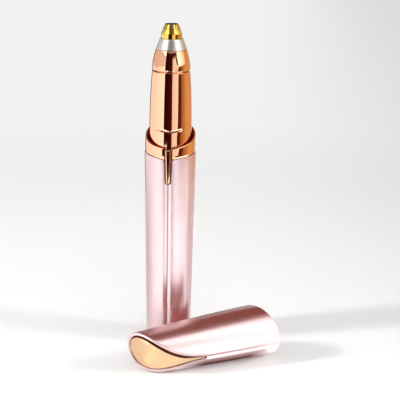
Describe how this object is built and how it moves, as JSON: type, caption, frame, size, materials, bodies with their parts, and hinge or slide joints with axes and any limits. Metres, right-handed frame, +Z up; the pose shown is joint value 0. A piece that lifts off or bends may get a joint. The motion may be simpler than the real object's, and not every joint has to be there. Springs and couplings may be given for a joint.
{
  "type": "eyebrow trimmer",
  "caption": "Pen-shaped battery eyebrow trimmer in pink satin with a rose-gold neck and slotted gold foil, standing, its slant-cut cap lying beside it",
  "frame": {"origin": "centre of the flat base of the handle, on the surface it stands on", "axes": "+Z up along the trimmer to its foil, -Y to the front (slide button and groove), +X to the right seen from the front"},
  "size_m": [0.0527, 0.0451, 0.1153],
  "materials": {
    "pink_satin": "satin pink anodising",
    "rose_gold": "polished rose-gold plating",
    "silver": "satin silver",
    "gold": "polished gold plating",
    "steel": "bright steel",
    "nickel": "nickel plating",
    "brass": "plain brass",
    "black_plastic": "moulded black plastic",
    "white_plastic": "moulded white plastic",
    "board_green": "solder-masked board",
    "cell_jacket": "plain cell jacket",
    "black_rubber": "moulded rubber",
    "lead_black": "black insulation",
    "lead_red": "red insulation"
  },
  "bodies": {
    "root": {"handle_sleeve": "pink_satin"},
    "chassis": {"collar": "rose_gold", "neck_shell": "rose_gold", "friction_ring": "black_rubber", "chassis_frame": "white_plastic", "cell": "cell_jacket", "negative_contact": "nickel", "negative_spring": "nickel", "positive_contact": "nickel", "circuit_board": "board_green", "board_screw": "steel", "switch_case": "black_plastic", "motor_can": "steel", "motor_end_cap": "black_plastic", "motor_terminal_left": "brass", "motor_terminal_right": "brass", "lead_left": "lead_black", "lead_right": "lead_red", "shaft_bush": "brass"},
    "button": {"slide_button": "rose_gold", "switch_lever": "white_plastic"},
    "rotor": {"motor_shaft": "steel", "drive_coupling": "white_plastic", "cutter_spring": "nickel", "cutter_carrier": "black_plastic", "cutter_blades": "steel"},
    "head": {"head_shell": "rose_gold", "silver_ring": "silver", "gold_foil": "gold", "foil_insert": "black_plastic"},
    "cap": {"cap_shell": "pink_satin", "cap_inlay": "rose_gold"}
  },
  "joints": [
    {"name": "chassis_lift", "type": "slide", "parent": "root", "child": "chassis", "axis": [0, 0, 1], "range_m": [0, 0.075]},
    {"name": "button_slide", "type": "slide", "parent": "chassis", "child": "button", "axis": [0, 0, 1], "range_m": [0, 0.003]},
    {"name": "rotor_spin", "type": "hinge", "parent": "chassis", "child": "rotor", "pos_m": [0, 0, 0.0986], "axis": [0, 0, 1], "continuous": true},
    {"name": "head_pull", "type": "slide", "parent": "chassis", "child": "head", "axis": [0, 0, 1], "range_m": [0, 0.025]},
    {"name": "cap_lift", "type": "slide", "parent": "root", "child": "cap", "axis": [0, 0, 1], "range_m": [0, 0.15]}
  ]
}
